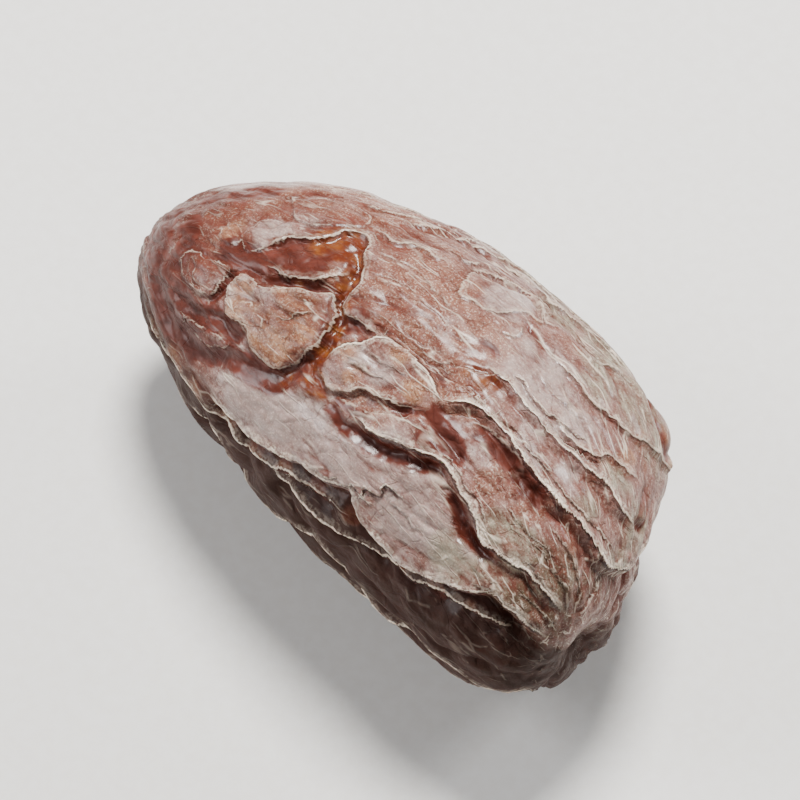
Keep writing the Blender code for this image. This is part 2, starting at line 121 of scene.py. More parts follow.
# Places are (millimetres along from the widest section, degrees round from the top to the front).
# A fold has a route, a side that is high, the height of its rim, the drop beyond it, and the widths
# of its lip, of the shelf behind the rim and of the gully below, all in millimetres.
Fold = collections.namedtuple("Fold", "route high rim drop lip shelf gully",
                              defaults=(0.2, 0.4, 0.3))
FOLDS = {
    "long_plateau_rim": Fold(
        [(-12.5, 72.5), (-8.3, 71), (-5.3, 68.4), (-2.4, 63), (0.1, 61.5), (2.1, 57.5), (3.3, 60.1),
         (5.2, 63.9), (7.9, 64.5), (10.5, 61.2), (13.3, 53.6), (15.5, 46), (17.2, 43), (18.6, 41.5),
         (20, 38)],
        LEFT, 0.30, 1.35, 1.00, 3.2, 1.7),
    "middle_crest": Fold(
        [(-1, 35.8), (1.4, 36.4), (3.2, 34), (4.6, 30.5), (6.6, 28.4), (9, 28.5), (11.1, 31),
         (12.5, 33.8), (13.4, 33.4), (15.2, 29.9), (16.4, 26), (17.6, 24.8), (18.5, 23.5),
         (19.7, 20)],
        LEFT, 0.30, 0.46, 0.75, 1.6, 0.9),
    "main_crest": Fold(
        [(3.2, 15), (4.9, 9.6), (6.2, 6), (8.4, 5.4), (10.4, 6), (12.6, 4.9), (14.4, 1.9),
         (16, -3.3), (17.6, -9), (18.6, -16), (19.2, -24), (19.5, -34), (19.5, -48), (19.1, -62),
         (18, -74)],
        LEFT, 0.34, 0.44, 0.90, 1.5, 1.1),
    "twin_crest": Fold(
        [(3.6, -5), (5.3, -5), (6.4, -6.3), (8.5, -6.6), (10.4, -7.4), (12, -10), (13.7, -15),
         (14.6, -19), (15.6, -24.5), (16.7, -28.7), (17.6, -36), (18.2, -44)],
        LEFT, 0.26, 0.32, 0.80, 1.1, 1.0),
    "twin_crest_branch": Fold(
        [(9.5, -11.5), (10.6, -14), (11.6, -13.5), (12.8, -15.5), (13.8, -22.2), (14.1, -31),
         (15.2, -38.7), (16.2, -47)],
        LEFT, 0.16, 0.24, 0.50, 1.0, 0.7),
    "shoulder_edge": Fold(
        [(5.5, -28.5), (7, -28), (8.6, -29.3), (10.2, -31.5), (11.6, -36), (13, -43.4), (14, -52.6),
         (14.8, -63.5), (15, -76), (14.4, -88)],
        LEFT, 0.14, 0.22, 0.40, 3.0, 0.7),
    "broken_edge": Fold(
        [(-4.1, -34), (-3, -35), (-1.8, -40), (-0.8, -43), (0.4, -46.5), (1.9, -45), (3, -40),
         (4.6, -41.5)],
        LEFT, 0.14, 0.34, 0.40, 1.6, 0.6),
    "window_plate": Fold(
        [(-1.9, -18.1), (-2.8, -25.4), (-3, -32), (-2.1, -35.9), (-0.2, -39.1), (0.5, -46),
         (2, -44), (3.1, -36), (2, -31.9), (1.1, -25.5), (0, -21), (-1.9, -18.1)],
        RIGHT, 0.08, 0.12, 0.30, 2.0, 0.5),
    "tongue_top_edge": Fold(
        [(-5.4, 30.5), (-5.2, 26.5), (-4.6, 21.3), (-3.8, 16.5), (-3.4, 13.4), (-2.6, 11.6),
         (-1.1, 9.9), (0.8, 10.6), (2.6, 12.2), (4.2, 15.3)],
        RIGHT, 0.28, 0.38, 0.50, 1.4, 0.8),
    "tongue_front_edge": Fold(
        [(-5, 30.5), (-4.5, 33), (-3.6, 35), (-2.4, 33), (-1.3, 29.2), (0.6, 26.6), (2.1, 23.2),
         (3.6, 20)],
        LEFT, 0.14, 0.32, 0.45, 1.2, 0.7),
    "front_ridge": Fold(
        [(-22, 82), (-16, 79.5), (-11.6, 79.8), (-8.4, 82.4), (-5.4, 79), (-2.8, 73), (0.3, 70),
         (3, 69)],
        LEFT, 0.30, 0.70, 0.80, 1.0, 1.4),
    "low_front_ridge": Fold(
        [(-6, 84), (-3.3, 81.1), (0.4, 79), (3.5, 75.9), (7, 72.6), (9.8, 70.4), (13, 64),
         (16.5, 56), (18.3, 52.5)],
        LEFT, 0.30, 0.85, 0.80, 1.1, 1.6),
    "cream_plate": Fold(
        [(-15.6, 31.6), (-15.4, 24.5), (-14.6, 22.5), (-12.9, 24), (-11.3, 18.3), (-9.6, 13.4),
         (-8.5, 10), (-7.5, 14.4), (-6.8, 20.5), (-6.6, 27), (-6.8, 34.3), (-7.9, 42), (-9.2, 44.3),
         (-10.8, 43.5), (-12.4, 38.5), (-14.4, 39.5), (-15.6, 31.6)],
        RIGHT, 0.10, 0.24, 0.40, 1.8, 0.6),
    "upper_pool": Fold(
        [(-16, 12), (-15.4, 6), (-14.6, 1.6), (-13.3, -2.3), (-12.4, -7.4), (-12, -12.3),
         (-11.1, -16.1), (-10.1, -14.5), (-9.5, -10), (-8.8, -5), (-7.6, -0.5), (-7.4, 4),
         (-7.4, 9.8), (-6.5, 13.6), (-5.1, 12.5), (-4.2, 12.2), (-2.8, 10.6)],
        LEFT, 0.14, 0.34, 0.40, 1.8, 1.2),
    "slot_crest": Fold(
        [(-14.4, 16.6), (-13.5, 14.6), (-12.6, 15), (-11.7, 12.6), (-10.4, 9), (-9.7, 5.7),
         (-9.2, 2), (-9.4, -2)],
        LEFT, 0.16, 0.22, 0.30, 0.7, 0.5),
    "upper_band": Fold(
        [(-11.1, -34), (-9.4, -39.1), (-8, -44.4), (-6.5, -48.7), (-4.1, -55), (-0.5, -53),
         (1.7, -49), (3.4, -54), (6.3, -56), (9.3, -55.5)],
        LEFT, 0.14, 0.26, 0.50, 2.0, 1.0),
    "upper_fold": Fold(
        [(-11.6, -22.2), (-9, -21.8), (-7.3, -26), (-5.3, -26.2), (-3.8, -24)],
        LEFT, 0.10, 0.18, 0.40, 1.4, 0.7),
}

BACK_FOLDS = 13
BACK_FIRST, BACK_LAST = 99, 284
BACK_STARTS = (-24, -4)
BACK_END = 20.3
BACK_PLACES = 12
BACK_WAVER = 6.0
BACK_WAVES = (1.3, 2.8)
BACK_SIZES = (0.6, 1.2)
BACK_SEED = 11
BACK_PROFILE = Fold(None, None, 0.32, 0.90, 0.85, 1.5, 1.3)

Channel = collections.namedtuple("Channel", "route depth width")
CHANNELS = {
    "pool_outlet": Channel(
        [(-9.8, -9), (-8.7, -1.4), (-8, 6), (-7.3, 13), (-6.2, 21), (-5.9, 28), (-5.7, 34),
         (-4.2, 37.5)], 0.55, 0.62),
    "red_pool": Channel([(-6.2, 17), (-5.3, 13.5), (-4.4, 14.5)], 0.40, 0.80),
    "red_slot": Channel(
        [(-13.2, 23), (-12.9, 19.4), (-11.6, 16.2), (-10.3, 12.4), (-9.2, 8.3),
         (-8.6, 4.5)], 0.36, 0.40),
    "front_river": Channel(
        [(-6.2, 31), (-6.9, 40.6), (-7.6, 46.5), (-9.2, 49.8), (-11.8, 52.9), (-13.6, 59),
         (-16, 62.5), (-20, 62), (-23, 56)], 0.45, 0.80),
    "apex_river": Channel(
        [(-20.9, 49.6), (-17.8, 51.8), (-15.4, 46), (-13.2, 44.5), (-11.6, 45)], 0.30, 0.50),
    "plate_parting": Channel([(-16.2, 24), (-16, 31.6), (-16.2, 38), (-17, 42)], 0.30, 0.40),
    "middle_gully": Channel(
        [(-3.7, 39.4), (-2.4, 40.5), (-0.6, 41.6), (1.4, 40.5), (3.2, 38), (4.9, 35), (6.5, 32),
         (8, 31.4)], 0.34, 0.55),
    "middle_pocket": Channel(
        [(8.4, 31.6), (9.6, 35), (10.9, 38.7), (12.6, 38.2), (14.4, 34.8)], 0.50, 0.55),
    "tongue_notch": Channel(
        [(3.2, 19), (4.6, 20.5), (5.8, 22.5), (7.2, 23.5), (8.3, 25)], 0.40, 0.65),
    "main_valley": Channel(
        [(6.4, 13), (8.4, 11), (9.9, 11), (11.5, 10), (12.9, 8.8), (14.5, 7.4)], 0.14, 0.42),
    "tongue_end_gully": Channel([(0.6, 28.5), (1.8, 25.5), (2.8, 22), (4, 20.5)], 0.15, 0.45),
    "slit": Channel([(2.5, -29.8), (3.3, -29), (4.5, -27.4), (5.7, -27)], 0.40, 0.32),
    "twin_end_pocket": Channel([(17.6, -41), (18.1, -48), (18.6, -58)], 0.60, 0.50),
}

CHANNEL_POWER = 2.5
HEIGHT_LIMIT = 0.70 * MM  # folds that run together rise no higher than this

SCAR_CALM = 7.5 * MM
SCAR_SHARE = 0.30

Swelling = collections.namedtuple("Swelling", "place height reach")
SWELLINGS = {
    "shoulder": Swelling((13.3, -76), 1.55, 4.2),
    "shoulder_front": Swelling((9, -55), 0.40, 4.0),
    "tongue_end": Swelling((17.4, -46), 0.35, 2.6),
    "long_plateau": Swelling((1, 51), 0.30, 4.5),
    "stem_hollow": Swelling((20.9, 0), -1.20, 1.9),
    "apex_hollow": Swelling((-27.3, 0), -0.40, 0.9),
}

# Folds too fine for the CAD solid: thin pale lips, partly a painted highlight, with a thin crease
# beside them that also takes a painted shadow line
FINE_FOLDS = {
    "double_line": Fold(
        [(-4.1, 12), (-2, 11), (-0.3, 8.6), (1.2, 7.8), (3.1, 7), (4.9, 5.4), (6.9, 4),
         (8.1, 2.6)], RIGHT, 0.10, 0.20, 0.20, 0.5, 0.3),
    "double_line_upper": Fold(
        [(-3, 6), (-1, 5.2), (0.2, 3), (1.3, 3.3), (2.6, 2.5), (4.1, -0.6),
         (5.4, -6)], RIGHT, 0.09, 0.16, 0.20, 0.5, 0.3),
    "twin_second_line": Fold(
        [(5.8, -9), (6.7, -11.2), (8.1, -10.5), (9.5, -11), (10.4, -13.6), (12, -17),
         (13, -22)], LEFT, 0.14, 0.20, 0.22, 0.4, 0.3),
    "main_second_line": Fold(
        [(3.5, 6.9), (5.1, 5.4), (7.4, 3.4), (9, 2), (10.5, 2.1), (12.5, 0), (14.5, -2.6),
         (16.1, -8), (17.8, -18.5), (18.8, -27.5)], LEFT, 0.12, 0.18),
    "main_third_line": Fold(
        [(6.2, 11.5), (7.8, 8.6), (9.6, 8), (11.2, 7.4)], LEFT, 0.08, 0.14),
    "middle_second_line": Fold(
        [(6.2, 26.4), (8, 25.6), (9.8, 26), (11.4, 28),
         (12.6, 31)], LEFT, 0.12, 0.16),
    "middle_last_lines": Fold(
        [(15.4, 26.5), (16.5, 23), (17.5, 22.5), (18.4, 22)], LEFT, 0.14, 0.20),
    "lilac_plate": Fold(
        [(-18.1, 9.5), (-17.6, -1), (-16.1, -3.5), (-14.8, 0.5), (-15.6, 7.9), (-16.6, 14.6),
         (-18.1, 9.5)], RIGHT, 0.07, 0.12, 0.25, 1.5, 0.4),
    "cream_patch": Fold(
        [(-20.3, 9.8), (-19.5, 4.9), (-17.9, 11), (-18.1, 15.6), (-19.4, 15.6),
         (-20.3, 9.8)], RIGHT, 0.06, 0.10, 0.25, 1.5, 0.4),
    "top_plate": Fold(
        [(-18.3, -22.3), (-16.5, -26), (-14.3, -30), (-12.1, -26.9), (-11.6, -19.1), (-13.2, -12),
         (-15.6, -8), (-18.3, -22.3)], RIGHT, 0.07, 0.12, 0.25, 1.8, 0.5),
    "left_plate": Fold(
        [(-20.9, 34.4), (-20.6, 28.5), (-18.7, 27.6), (-16.7, 25.4), (-16.5, 31.6), (-16.6, 39),
         (-18, 42), (-19.7, 42), (-20.9, 34.4)], RIGHT, 0.09, 0.20, 0.35, 1.8, 0.6),
    "left_plate_crease": Fold(
        [(-20.2, 30), (-19, 34), (-18.6, 38), (-17.4, 39)], LEFT, 0.07, 0.12, 0.2, 0.6, 0.3),
    "mauve_plate": Fold(
        [(-17.6, 55), (-14.7, 51), (-12.6, 48.5), (-13.6, 55.5), (-16, 58.5),
         (-17.6, 55)], RIGHT, 0.08, 0.14, 0.25, 1.4, 0.5),
    "cream_parting": Fold(
        [(-14.4, 38), (-13.6, 32.8), (-12.6, 32), (-11.4, 32.8),
         (-10.9, 37)], RIGHT, 0.09, 0.20, 0.25, 0.8, 0.4),
    "cream_crease": Fold(
        [(-11.2, 30), (-9.8, 27), (-9, 22), (-8.2, 20)], LEFT, 0.07, 0.12, 0.2, 0.6, 0.3),
    "apex_crack_a": Fold(
        [(-9, -13.4), (-6.1, -15.5), (-3.4, -13.5),
         (-0.6, -12.5)], LEFT, 0.06, 0.10, 0.2, 0.6, 0.3),
    "apex_crack_b": Fold(
        [(-7.9, -3.4), (-5.4, -7.6), (-2.5, -7), (0, -7)], LEFT, 0.05, 0.08, 0.2, 0.6, 0.3),
    "apex_crack_c": Fold(
        [(-6.4, -33.8), (-5.4, -35.8), (-4.3, -35.2), (-3.1, -39.9), (-1.6, -43.1),
         (-1, -47)], LEFT, 0.10, 0.14, 0.2, 0.6, 0.3),
    "window_low_edge": Fold(
        [(-0.4, -17.5), (0.5, -21.9), (1.8, -24.1), (3.2, -25.2), (3.3, -20),
         (1.6, -16.5)], RIGHT, 0.07, 0.12, 0.25, 1.2, 0.4),
    "top_line_a": Fold(
        [(-14, -34), (-11, -42), (-8, -50), (-5, -57), (-1, -60), (4, -61),
         (9, -62)], LEFT, 0.12, 0.2, 0.25, 0.6, 0.4),
    "top_line_b": Fold(
        [(-16, -46), (-12, -54), (-8, -61), (-4, -65), (1, -67),
         (6, -68)], LEFT, 0.12, 0.2, 0.25, 0.6, 0.4),
    "top_line_c": Fold(
        [(-9, -69), (-6, -71), (-3, -74), (2, -76), (7, -78)], LEFT, 0.12, 0.2, 0.25, 0.6, 0.4),
    "shoulder_crack": Fold(
        [(4.8, -44), (7, -47), (9, -52), (10.6, -58)], LEFT, 0.10, 0.16, 0.2, 0.6, 0.3),
    "scar_crack": Fold(
        [(19.6, -24.5), (20, -13.3), (20.2, 3.5), (20.2, 16.7)], LEFT, 0.10, 0.20),
    "scar_line_a": Fold(
        [(15.5, 8), (17, 5), (18.4, 2), (19.6, 4), (20.2, 14)], LEFT, 0.08, 0.14),
    "scar_line_b": Fold(
        [(14.8, 20), (16.8, 16), (18.6, 14), (19.8, 18)], LEFT, 0.08, 0.14),
    "scar_line_c": Fold(
        [(16.5, 36), (18, 33), (19.2, 30), (20.1, 30)], LEFT, 0.08, 0.14),
    "great_second_rim": Fold(
        [(13.6, 49), (15.8, 43.9), (17.2, 41.6), (18.6, 39.5),
         (19.8, 35)], LEFT, 0.10, 0.16, 0.25, 0.5, 0.3),
    "great_crinkles": Fold(
        [(-1.4, 60.5), (0.4, 59.4), (1, 57.2), (2, 57), (2.3, 54.6), (3.4, 54.4), (3.4, 51.4),
         (4.8, 50), (4.6, 46.6), (6.4, 45)], LEFT, 0.32, 0.10, 0.2, 0.3, 0.3),
    "great_crinkles_b": Fold(
        [(2, 58.4), (3.2, 57.4), (3.6, 55.4), (5, 54)], LEFT, 0.22, 0.10, 0.2, 0.3, 0.3),
    "great_crease": Fold(
        [(5.4, 50), (6.8, 48.6), (7.8, 50.4), (9, 49)], LEFT, 0.07, 0.12),
    "plate_under_tongue": Fold(
        [(-3.6, 36.6), (-1.2, 34.7), (0.6, 31.4), (2.3, 26.7),
         (3.1, 21)], RIGHT, 0.08, 0.16, 0.3, 1.2, 0.5),
    "tongue_crease": Fold(
        [(-4, 26), (-2.8, 23.4), (-1.6, 23), (-0.4, 20.4)], LEFT, 0.08, 0.14, 0.2, 0.5, 0.3),
    "tongue_wrinkle": Fold(
        [(-3.4, 20), (-2.2, 18), (-0.8, 17), (0.8, 15)], LEFT, 0.06, 0.10, 0.2, 0.5, 0.3),
    "middle_fan": Fold(
        [(12.4, 20), (14.2, 18.6), (16, 15), (17.6, 11)], LEFT, 0.09, 0.14, 0.2, 0.5, 0.3),
    "right_field_line": Fold(
        [(6, -17), (8.4, -18), (10.4, -21), (12, -27)], LEFT, 0.05, 0.08, 0.2, 0.5, 0.3),
}

# Bands where the skin is worn to its red-brown flesh: route, half width in millimetres, share
Band = collections.namedtuple("Band", "route width share")
BANDS = [
    Band([(-13.4, 12.6), (-12.2, 10), (-11.2, 6), (-10.4, 2)], 0.8, 0.8),
    Band([(-15.4, 13), (-13.8, 7), (-12.6, 1), (-11.9, -6), (-11.2, -12)], 1.35, 0.85),
    Band([(-26, 10), (-25.3, 23), (-24, 42), (-22.6, 53), (-20.4, 62), (-17.7, 63.5),
          (-14.6, 62.5)], 1.25, 1.0),
    Band([(-20.9, 49.6), (-17.8, 51.8), (-15.4, 46), (-13.2, 44.5), (-11.6, 45)], 0.85, 1.0),
    Band([(-14.6, 62.5), (-13.4, 58.5), (-11.8, 52.9), (-9.9, 50), (-7.7, 48.2), (-7.2, 45),
          (-6.9, 40.6), (-5.8, 34.4)], 0.80, 1.0),
    Band([(-19, 19.4), (-16.8, 17.6), (-14.9, 17.4), (-13.7, 18.4)], 0.95, 1.0),
    Band([(-23.4, 12), (-22.2, 20), (-21.4, 28), (-21.2, 38), (-20.6, 46)], 0.85, 1.0),
    Band([(-24.4, -6), (-22.6, -14), (-20.6, -19), (-18.8, -22)], 0.8, 0.7),
    Band([(-16.2, 23), (-16, 31.6), (-16.2, 38), (-16.8, 42)], 0.45, 0.9),
    Band([(-10.6, -14), (-9.8, -6), (-8.7, 2), (-8, 9), (-6.9, 17), (-6.2, 24), (-5.9, 31),
          (-4.8, 37)], 0.72, 1.0),
    Band([(-13.2, 23), (-12.8, 19.4), (-11.6, 16.2), (-10.3, 12.4), (-9.2, 8.3)], 0.45, 1.0),
    Band([(-6.4, 17), (-5.3, 14), (-4.4, 15)], 0.85, 1.0),
    Band([(-3.4, 37.4), (-1.2, 36), (0.8, 32.4)], 0.3, 0.6),
    Band([(2.9, 18.6), (4.8, 18), (6.5, 20.2), (7.4, 24), (8.3, 25.4)], 0.75, 0.85),
    Band([(4.2, 22), (4.9, 27), (6.4, 27)], 0.5, 0.7),
    Band([(8.4, 31.4), (9.6, 35.1), (10.9, 38.3), (12.6, 37), (14.5, 33.6)], 0.5, 1.0),
    Band([(6.4, 13.5), (8.4, 11), (9.9, 11), (11.5, 10), (12.9, 8.8), (14.5, 7.4)], 0.5, 0.9),
    Band([(1.6, -10.6), (3.2, -10), (4.6, -9)], 0.35, 0.6),
]

# Patches of skin that share a tint: (place, millimetres to the patch's edge)
JELLY = [((-11.2, -11), 1.5), ((-10.4, -6), 1.3), ((-12.4, -5), 1.2), ((-9, -1), 1.0),
         ((-8.2, 6), 0.9), ((-7.2, 13), 0.9), ((-6.4, 20), 0.9), ((-5.8, 27), 0.9),
         ((-5.6, 33), 1.0), ((-4.7, 37), 1.3), ((4.2, 1), 1.0), ((5.4, -2.6), 0.8),
         ((-11.5, 15), 0.5), ((-7.2, 44), 0.8)]
RUST = [((-12.2, 9), 1.3), ((-11, 4), 1.2), ((-13.5, 5), 2.0), ((-12.4, -2), 2.0),
        ((-11.6, -8), 1.8), ((-19, 33), 2.6), ((-17.4, 20), 2.4), ((-20.6, 18), 2.6),
        ((-16, 50), 2.4), ((-20, 52), 3.0), ((-23, 30), 3.0), ((-21.5, -10), 3.6),
        ((-17.5, -14), 3.0), ((-16, -28), 3.6), ((-13, -24), 2.6), ((-7, 2), 2.0), ((-5.4, 9), 1.6),
        ((-3.5, 4), 2.2), ((3.6, 2), 2.2), ((-9, -24), 2.8), ((-24, -60), 5.0), ((-19, -27), 3.0),
        ((-16, -20), 2.4)]
BROWN = [((-14.6, 17), 2.0), ((-22, 42), 4.0), ((-18, 58), 3.0), ((-9, 47), 1.8), ((-20, 65), 3.2),
         ((-24.6, 34), 3.6), ((-26, 90), 5.0), ((-24, -22), 3.6), ((-24, 180), 6.0),
         ((-24, 260), 6.0), ((-24.5, 5), 3.0), ((-22, -34), 3.0), ((-13.4, -9), 1.2),
         ((-11, 14), 1.4), ((13, 9), 1.2), ((11, 38), 1.4)]
SALMON = [((-4, -4), 4.0), ((-1, -2), 3.4), ((-5, -16), 3.6), ((1.5, -10), 3.0), ((3, 6), 2.4),
          ((11, 17), 1.8), ((14, 13), 1.6), ((-12, -34), 4.0), ((-17, -40), 4.0), ((-2, 34), 1.5),
          ((14.5, -30), 1.6), ((0.5, 31), 1.6), ((-6.5, -26), 2.6)]
TAN = [((-9.2, 24), 2.4), ((-9.8, 33), 2.2), ((-12.6, 36), 1.4), ((-17, 78), 1.1), ((-14, 80), 1.1),
       ((-10.5, 80.5), 1.1), ((-7, 79.5), 1.0), ((-4, 75.5), 0.9), ((-0.5, 71), 0.9),
       ((3, 69), 0.8), ((-20, 78), 1.1), ((8, 72), 0.9), ((11.5, 68), 1.0), ((14.6, 61), 0.8)]
CREAM = [((1.6, 18), 1.0), ((-2.6, 27), 0.8), ((-8.8, 39), 1.3), ((-10.8, 41), 1.0),
         ((-11.6, 22), 0.8), ((-7.8, 27), 0.8), ((-19.2, 10), 1.2), ((-14.6, 27), 1.1),
         ((-13.9, 36), 0.8), ((-4.6, 23), 0.9), ((-1, 12), 1.0), ((13.9, -70), 1.6),
         ((14.6, -42), 1.0)]
# Grey patches: the bloom's pale lilac, made paler on the great plate partly as a painted sheen
GREY = [((-14.3, 30), 1.2), ((-3.4, 23), 0.9), ((-1, 20.5), 1.1), ((-20, -48), 2.6),
        ((-14, -60), 3.4), ((-6, -64), 3.0), ((0, -62), 2.6), ((-23, -36), 2.4), ((2, 47), 3.8),
        ((-2, 50), 3.8), ((7, 48), 3.6), ((11, 43), 2.8), ((-6, 56), 3.0), ((-16.2, 3), 1.6),
        ((0.5, -33), 2.4), ((-8, 63), 3.0), ((6.6, 40), 1.8), ((8, -14), 2.4), ((4, -16), 2.2),
        ((11.5, -20), 1.8), ((7, -22), 1.8), ((5.6, -12), 1.4), ((13.4, -9), 1.2)]
# Green patches: the skin's khaki-green tint; near the stem end, at (18.3, -48), partly a painted
# highlight
GREEN = [((15.4, 34), 1.3), ((17.8, 18), 1.3), ((9, -41), 2.2), ((11.8, -54), 2.8), ((7, -58), 2.8),
         ((12.6, -66), 3.0), ((12, -80), 4.2), ((5, -75), 3.8), ((-2, -70), 3.4), ((3, -52), 2.2),
         ((18.3, -48), 1.9), ((11.5, 48), 2.0), ((14, -62), 2.4), ((15.5, 22), 1.6),
         ((10, -95), 4.0), ((13, 28), 1.4), ((13.6, 40), 1.6), ((15.6, -32), 1.3),
         ((-12, -72), 4.0), ((17.4, 30), 1.4), ((18.2, 8), 1.3), ((19.4, -30), 1.5),
         ((16.4, 44), 1.5), ((16, -12), 1.2), ((14, 22), 1.3), ((18.6, 24), 1.4)]
OLIVE = [((20.9, 0), 3.0), ((20.2, 70), 3.2), ((18, 78), 3.2), ((12, 92), 3.8), ((-15, 95), 3.8),
         ((19.7, 30), 2.2), ((-3, 100), 4.2), ((4, 100), 4.2), ((17, 36), 1.8), ((17.4, 12), 1.8),
         ((19, 16), 1.8), ((-21, 76), 2.4), ((18.6, 48), 2.4), ((19.6, -20), 2.0)]

PATCHES = {"jelly": JELLY, "brown": BROWN, "rust": RUST, "salmon": SALMON, "tan": TAN,
           "cream": CREAM, "grey": GREY, "green": GREEN, "olive": OLIVE}
# How far each patch's tint covers the skin, in the order that they are laid on: mark, tint, share
TINTS = [("rust", "rust", 0.85), ("brown", "brown", 0.85), ("grey", "lilac", 0.85),
         ("salmon", "salmon", 0.8), ("green", "green", 0.85), ("tan", "tan", 0.9),
         ("cream", "cream", 0.9), ("olive", "olive", 0.8)]

SKIN_PALETTE = {
    "maroon": (52, 20, 14),
    "red_brown": (80, 33, 22),
    "rosy": (108, 54, 43),
    "amber": (101, 42, 16),
    "honey": (134, 76, 24),
    "pink": (142, 108, 98),
    # the bloom's pale grey-lilac, made paler partly as a painted sheen
    "lilac": (173, 151, 143),
    "salmon": (140, 94, 75),
    "rust": (106, 55, 35),
    "brown": (58, 26, 18),
    "tan": (130, 86, 59),
    "cream": (162, 116, 84),
    "green": (150, 142, 122),
    "olive": (80, 63, 45),
    # the pale of the crests, partly a painted highlight there; also the pale dust and pleats
    "crest": (252, 234, 212),
    # painted shade for the underside and below the long plateau's rim
    "shade": (46, 23, 15),
}

SKIN_SETTINGS = {
    "IOR": 1.45,
    "Specular IOR Level": 0.18,
    "Coat Roughness": 0.20,
    "Subsurface Weight": 0.08,
    "Subsurface Radius": (1.0, 0.32, 0.16),
    "Subsurface Scale": 0.9 * MM,
}

CAMERA_AZIMUTH, CAMERA_ELEVATION = 46, 60
CAMERA_LENS = 180
CAMERA_DISTANCE = 0.302
AIM = Vector((-0.0002, -0.0004, 0.0115))

# Softboxes, placed as the camera sees them: (up, right, towards it), size, watts, colour
LIGHT_DISTANCE = 0.50
LIGHTS = {
    "key": ((0.9, 0.1, 0.6), 0.17, 5.3, (1.0, 0.985, 0.96)),
    "left": ((0.40, -0.9, 0.45), 0.26, 1.7, (0.98, 0.98, 1.0)),
    "edge": ((0.65, 0.95, 0.25), 0.16, 1.4, (0.97, 0.98, 1.0)),
}
WORLD_COLOUR = (0.85, 0.86, 0.89, 1)
WORLD_STRENGTH = 0.17

FLOOR_HALF = 1.5
FLOOR_DROP = 0.02 * MM


def linear(rgb):
    """A colour from 0 to 255 as a screen shows it, turned into the light that a shader mixes."""
    return tuple(((c / 255 + 0.055) / 1.055) ** 2.4 for c in rgb) + (1.0,)


def smooth(share):
    share = np.clip(share, 0, 1)
    return share * share * (3 - 2 * share)


def fullness(x):
    reach = np.where(x > 0, STEM_REACH, APEX_REACH)
    power = np.where(x > 0, STEM_POWER, APEX_POWER)
    out = np.clip(np.abs(x) / reach, 0, 1)
    return (1 - out**power) ** (1 / power)


def spine(x):
    reach = np.where(x > 0, STEM_REACH, APEX_REACH)
    swing = np.where(x > 0, STEM_SWING, APEX_SWING)
    out = np.clip(np.abs(x) / reach, 0, 1)
    return BOW * (1 - out**2) - swing * out**3


def bare_point(x, turn):
    full = fullness(x)
    y = spine(x) - np.sin(turn) * HALF_ACROSS * full
    z = np.cos(turn) * HALF_HEIGHT * full
    return np.stack([x + 0 * turn, y, z], axis=-1)


def bare_normal(x, turn):
    x = np.clip(x, NORMAL_STEP - APEX_REACH, STEM_REACH - NORMAL_STEP)
    along = bare_point(x + NORMAL_STEP, turn) - bare_point(x - NORMAL_STEP, turn)
    around = bare_point(x, turn + NORMAL_TURN) - bare_point(x, turn - NORMAL_TURN)
    out = np.cross(around, along)
    return out / np.linalg.norm(out, axis=-1, keepdims=True)


def smooth_route(route):
    """A curve through the route's places, as (metres along, radians round) at even steps."""
    places = np.array([(x * MM, math.radians(turn)) for x, turn in route])
    ends = np.concatenate([[2 * places[0] - places[1]], places, [2 * places[-1] - places[-2]]])
    curve = []
    for a, b, c, d in zip(ends, ends[1:], ends[2:], ends[3:]):
        span = np.linalg.norm(bare_point(c[0], c[1]) - bare_point(b[0], b[1]))
        for t in np.linspace(0, 1, max(2, round(span / ROUTE_STEP)), endpoint=False):
            curve.append(0.5 * (2 * b + (c - a) * t + (2 * a - 5 * b + 4 * c - d) * t**2
                                + (3 * b - a - 3 * c + d) * t**3))
    return np.array(curve + [places[-1]])


def beside(route, points, fade):
    """How far each point is from the route, positive on its left, and the fold's strength there."""
    x, turn = smooth_route(route).T
    path = bare_point(x, turn)
    run = np.gradient(path, axis=0)
    left = np.cross(bare_normal(x, turn), run)
    nearest = np.zeros(len(points), int)
    best = np.full(len(points), np.inf)
    for i, place in enumerate(path):
        gap = np.sum((points - place) ** 2, axis=1)
        closer = gap < best
        nearest[closer] = i
        best[closer] = gap[closer]
    apart = points - path[nearest]
    side = np.sign(np.sum(apart * left[nearest], axis=1))
    if route[0] == route[-1]:
        return side * np.sqrt(best), np.ones(len(points))
    steps = np.linalg.norm(np.diff(path, axis=0), axis=1)
    done = np.concatenate([[0], np.cumsum(steps)])
    from_end = np.minimum(done, done[-1] - done)[nearest]
    return side * np.sqrt(best), smooth(from_end / fade)


def noise_at(places, seed):
    """A smooth noise, from about -1 to 1, at each place."""
    offset = Vector((seed * SEED_ALONG, seed * SEED_ROUND, 0))
    return np.array([noise.noise(Vector(place) + offset) for place in places.tolist()])


def wandered(points):
    """The points moved a little about, so that what is measured from them wavers."""
    moved = points.copy()
    for size, length in WANDERS:
        places = (points / length).tolist()
        moved += size * np.array([noise.noise_vector(Vector(place)) for place in places])
    return moved


def cube_sphere():
    """The places of a cube's grid points, blown up to a ball, and its squares."""
    cells = CUBE_CELLS
    numbers, places, squares = {}, [], []

    def corner(key):
        if key not in numbers:
            numbers[key] = len(places)
            places.append([math.tan((2 * k / cells - 1) * math.pi / 4) for k in key])
        return numbers[key]

    for axis in range(3):
        u, v = (axis + 1) % 3, (axis + 2) % 3
        for side in (0, cells):
            for i in range(cells):
                for j in range(cells):
                    ring = []
                    for di, dj in ((0, 0), (1, 0), (1, 1), (0, 1)):
                        key = [0, 0, 0]
                        key[axis], key[u], key[v] = side, i + di, j + dj
                        ring.append(corner(tuple(key)))
                    squares.append(ring if side else ring[::-1])
    places = np.array(places)
    return places / np.linalg.norm(places, axis=1, keepdims=True), squares


